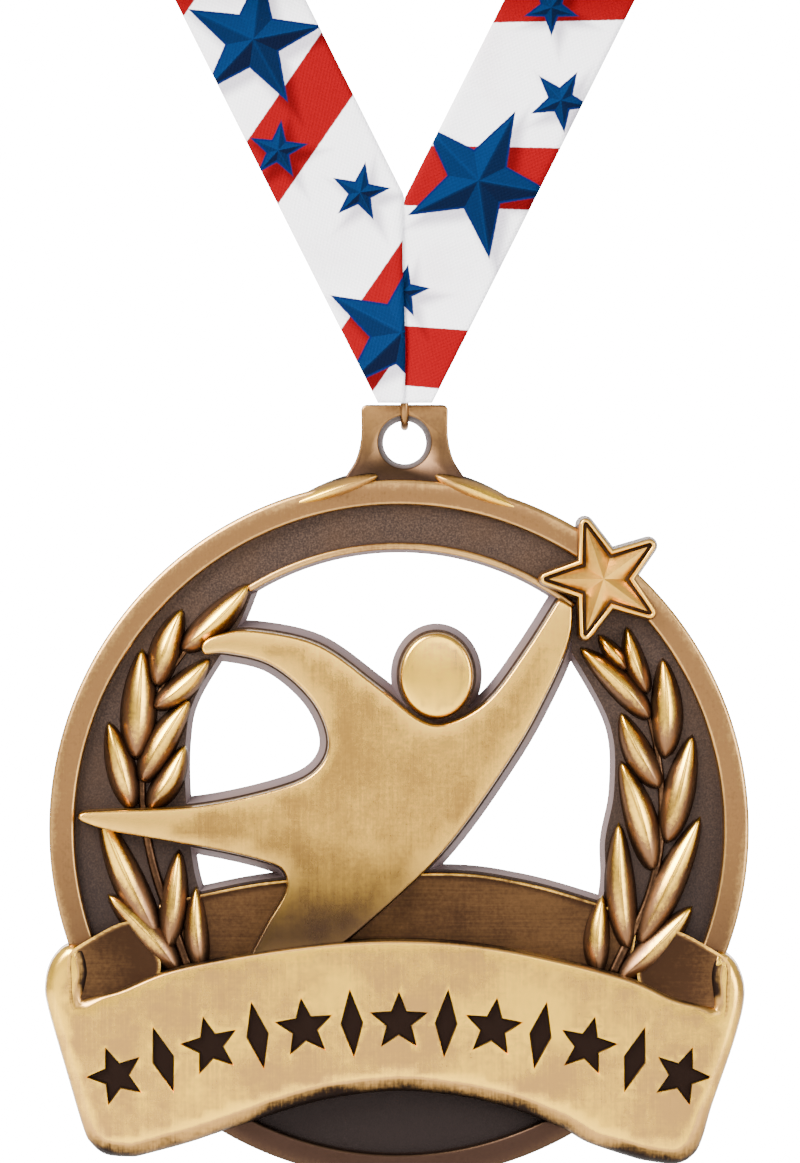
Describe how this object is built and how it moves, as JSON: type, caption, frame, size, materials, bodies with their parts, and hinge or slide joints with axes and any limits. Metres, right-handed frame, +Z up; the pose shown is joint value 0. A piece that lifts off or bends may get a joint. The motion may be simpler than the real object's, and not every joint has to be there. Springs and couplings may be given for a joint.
{
  "type": "neck medal",
  "caption": "Cast openwork medal of a leaping figure in a laurel ring over a scroll, hung by a jump ring and wire bail from a folded neck ribbon.",
  "frame": {"origin": "the top of the put-away ribbon, over the lug, where the medal hangs", "axes": "+Z up along the hanging medal, -Y out of its face, +X to the viewer's right"},
  "size_m": [0.0705, 0.0094, 0.1338],
  "materials": {
    "bright_bronze": "satin, brushed upright, polished high spots",
    "worn_bronze": "satin with dark patina",
    "oxidised_bronze": "dark oxidised, fine grained",
    "brass_wire": "drawn wire, antique plated",
    "ribbon": "printed knitted polyester, white with red stripes and blue stars",
    "tie": "woven tape"
  },
  "bodies": {
    "ribbon": {"ribbon_strap_left": "ribbon", "ribbon_strap_right": "ribbon", "ribbon_end_loop": "ribbon", "ribbon_hank": "ribbon", "hank_tie": "tie"},
    "bail": {"ribbon_bail": "brass_wire"},
    "ring": {"jump_ring": "brass_wire"},
    "medal": {"medal_plate": "oxidised_bronze", "ring_rim_left": "worn_bronze", "ring_rim_right": "worn_bronze", "ring_rim_lower": "worn_bronze", "window_lip": "worn_bronze", "rim_leaf_left": "bright_bronze", "rim_leaf_right": "bright_bronze", "figure_body": "bright_bronze", "figure_head": "bright_bronze", "star_border": "worn_bronze", "star_facets": "bright_bronze", "scroll_front": "bright_bronze", "scroll_inside_left": "oxidised_bronze", "scroll_back_left": "oxidised_bronze", "scroll_back_right": "oxidised_bronze", "scroll_inside_right": "oxidised_bronze", "laurel_left_leaf_1": "bright_bronze", "laurel_left_leaf_2": "bright_bronze", "laurel_left_leaf_3": "bright_bronze", "laurel_left_leaf_4": "bright_bronze", "laurel_left_leaf_5": "bright_bronze", "laurel_left_leaf_6": "bright_bronze", "laurel_left_leaf_7": "bright_bronze", "laurel_left_leaf_8": "bright_bronze", "laurel_left_leaf_9": "bright_bronze", "laurel_left_leaf_10": "bright_bronze", "laurel_left_leaf_11": "bright_bronze", "laurel_right_leaf_1": "bright_bronze", "laurel_right_leaf_2": "bright_bronze", "laurel_right_leaf_3": "bright_bronze", "laurel_right_leaf_4": "bright_bronze", "laurel_right_leaf_5": "bright_bronze", "laurel_right_leaf_6": "bright_bronze", "laurel_right_leaf_7": "bright_bronze", "laurel_right_leaf_8": "bright_bronze", "laurel_right_leaf_9": "bright_bronze", "laurel_right_leaf_10": "bright_bronze", "laurel_right_leaf_11": "bright_bronze"}
  },
  "joints": [
    {"name": "bail_swing", "type": "hinge", "parent": "ribbon", "child": "bail", "pos_m": [0, 0, -0.0471], "axis": [1, 0, 0], "range_deg": [-4, 30]},
    {"name": "ring_swing", "type": "hinge", "parent": "bail", "child": "ring", "pos_m": [0, 0, -0.0515], "axis": [1, 0, 0], "range_deg": [-4, 30]},
    {"name": "medal_sway", "type": "hinge", "parent": "ring", "child": "medal", "pos_m": [0, 0, -0.05767], "axis": [0, 1, 0], "range_deg": [-30, 30]}
  ]
}
